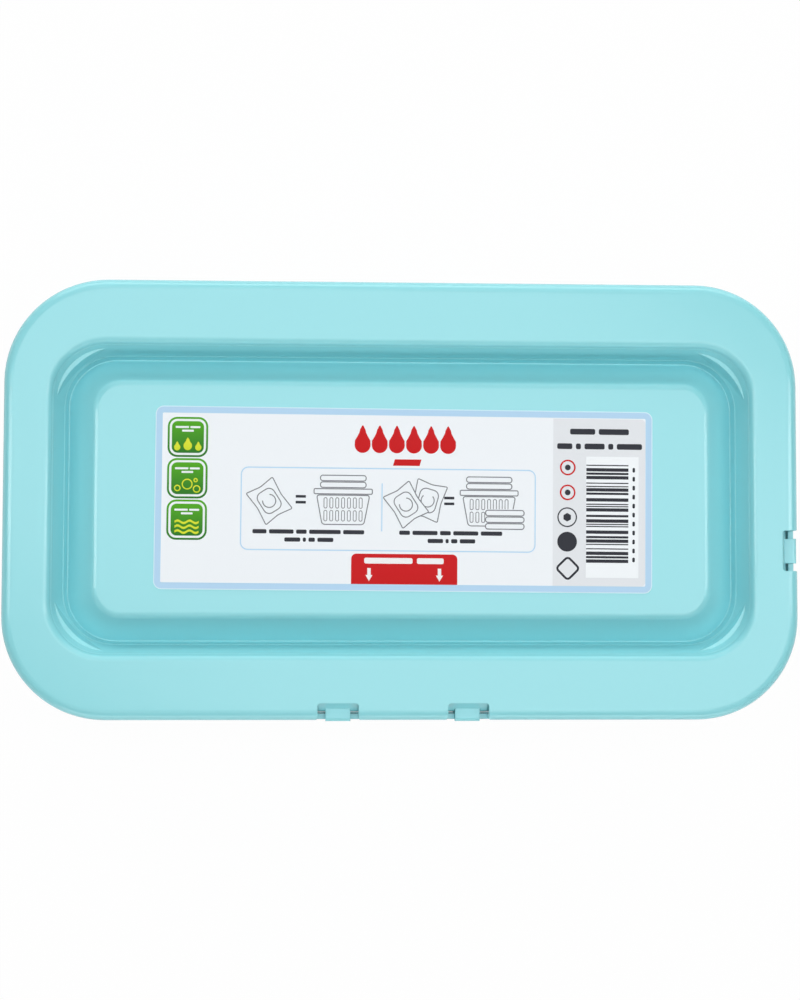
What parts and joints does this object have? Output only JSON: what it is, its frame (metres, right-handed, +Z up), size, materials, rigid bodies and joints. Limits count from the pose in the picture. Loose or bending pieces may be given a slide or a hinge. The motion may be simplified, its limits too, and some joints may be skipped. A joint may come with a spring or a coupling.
{
  "type": "laundry pod tub",
  "caption": "Low rectangular moulded tub with a rear-hinged snap lid, a stacking recess with a raised labelled panel, and laundry pods inside.",
  "frame": {"origin": "on the ground under the middle of the lid's outline, at the bottom of the stacking foot", "axes": "+X along the long side, +Y from the front latches to the rear hinge, +Z up"},
  "size_m": [0.2205, 0.1217, 0.066],
  "materials": {
    "tub_plastic": "gloss",
    "lid_plastic": "gloss",
    "label_film": "satin",
    "pod_film": "gloss"
  },
  "bodies": {
    "tub": {"tub_body": "tub_plastic", "pod_01": "pod_film", "pod_02": "pod_film", "pod_03": "pod_film", "pod_04": "pod_film", "pod_05": "pod_film", "pod_06": "pod_film", "pod_07": "pod_film", "pod_08": "pod_film", "pod_09": "pod_film", "pod_10": "pod_film", "pod_11": "pod_film", "pod_12": "pod_film", "pod_13": "pod_film", "pod_14": "pod_film", "pod_15": "pod_film", "pod_16": "pod_film", "pod_17": "pod_film", "pod_18": "pod_film", "pod_19": "pod_film", "pod_20": "pod_film", "pod_21": "pod_film", "pod_22": "pod_film", "pod_23": "pod_film", "pod_24": "pod_film", "pod_25": "pod_film", "pod_26": "pod_film", "pod_27": "pod_film", "pod_28": "pod_film", "pod_29": "pod_film", "pod_30": "pod_film"},
    "lid": {"lid": "lid_plastic", "label": "label_film"}
  },
  "joints": [
    {"name": "lid_hinge", "type": "hinge", "parent": "tub", "child": "lid", "pos_m": [0, 0.05785, 0.0558], "axis": [-1, 0, 0], "range_deg": [0, 110]}
  ]
}
